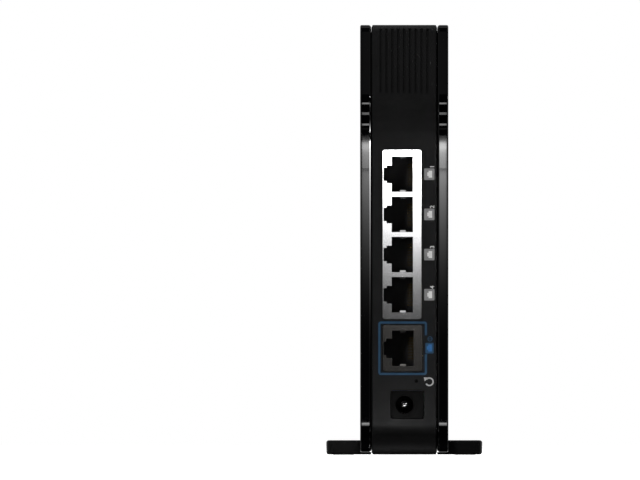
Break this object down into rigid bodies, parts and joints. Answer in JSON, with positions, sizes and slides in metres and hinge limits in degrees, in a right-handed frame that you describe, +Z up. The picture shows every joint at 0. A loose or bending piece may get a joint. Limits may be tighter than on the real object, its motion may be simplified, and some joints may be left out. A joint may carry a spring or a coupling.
{
  "type": "wireless router",
  "caption": "Upright desktop wireless router with glossy side shells, a matt band, rear network and power sockets, a reset pinhole, a front connect button and a two-winged stand.",
  "frame": {"origin": "centre of the footprint on the surface it stands on", "axes": "+Z up, +Y towards the rear face with the sockets, +X towards the right shell seen from the front"},
  "size_m": [0.0542, 0.118, 0.1495],
  "materials": {
    "gloss_black_plastic": "high gloss, piano black",
    "matt_black_plastic": "fine spark-eroded texture",
    "front_plastic": "high gloss",
    "foot_plastic": "satin gloss",
    "pad_rubber": "matt",
    "screw_steel": "zinc plated",
    "chassis_plastic": "moulded",
    "circuit_board": "solder mask",
    "bright_shield": "nickel plated, satin",
    "dark_shield": "nickel plated, satin",
    "socket_plastic": "moulded",
    "gold_contact": "gold plated",
    "pin_metal": "nickel plated",
    "switch_plastic": "moulded",
    "plunger_plastic": "moulded",
    "button_plastic": "satin",
    "light_guide": "clear acrylic",
    "led_body": "clear resin on white",
    "chip_epoxy": "moulded epoxy",
    "pad_silicone": "soft silicone",
    "sink_aluminium": "extruded",
    "shield_tin": "tin plated",
    "transformer_epoxy": "moulded epoxy",
    "capacitor_sleeve": "shrink sleeve",
    "inductor_ferrite": "ferrite",
    "antenna_board": "solder mask",
    "cable_sheath": "fluoropolymer sheath",
    "label_film": "printed film, left blank"
  },
  "bodies": {
    "router": {"left_side_shell": "gloss_black_plastic", "right_side_shell": "gloss_black_plastic", "rear_cover": "matt_black_plastic", "top_cover": "matt_black_plastic", "front_cover": "front_plastic", "bottom_cover": "matt_black_plastic", "left_foot": "foot_plastic", "right_foot": "foot_plastic", "foot_pads": "pad_rubber", "foot_screws": "screw_steel", "chassis_plate": "chassis_plastic", "case_screws": "screw_steel", "main_board": "circuit_board", "board_screws": "screw_steel", "lan_shield": "bright_shield", "lan_housing": "socket_plastic", "lan_contacts": "gold_contact", "wan_shield": "dark_shield", "wan_housing": "socket_plastic", "wan_contacts": "gold_contact", "dc_jack_housing": "socket_plastic", "dc_centre_pin": "pin_metal", "dc_spring_contact": "pin_metal", "reset_switch_body": "switch_plastic", "button_switch_body": "switch_plastic", "light_pipe": "light_guide", "status_leds": "led_body", "processor_chip": "chip_epoxy", "thermal_pad": "pad_silicone", "heat_sink": "sink_aluminium", "memory_chips": "chip_epoxy", "flash_chip": "chip_epoxy", "port_switch_chip": "chip_epoxy", "radio_shield_can": "shield_tin", "line_transformers": "transformer_epoxy", "capacitors": "capacitor_sleeve", "inductors": "inductor_ferrite", "crystal": "shield_tin", "antenna_connectors": "gold_contact", "left_antenna": "antenna_board", "right_antenna": "antenna_board", "left_antenna_cable": "cable_sheath", "right_antenna_cable": "cable_sheath", "rating_label": "label_film"},
    "reset_plunger": {"reset_plunger": "plunger_plastic"},
    "connect_button": {"button_cap": "button_plastic", "button_plunger": "plunger_plastic"}
  },
  "joints": [
    {"name": "reset_press", "type": "slide", "parent": "router", "child": "reset_plunger", "axis": [0, -1, 0], "range_m": [0, 0.0003], "stiffness_N_per_m": 4000, "springref_m": -0.0001},
    {"name": "connect_press", "type": "slide", "parent": "router", "child": "connect_button", "axis": [0, 1, 0], "range_m": [0, 0.0005], "stiffness_N_per_m": 3000, "springref_m": -0.0002}
  ]
}
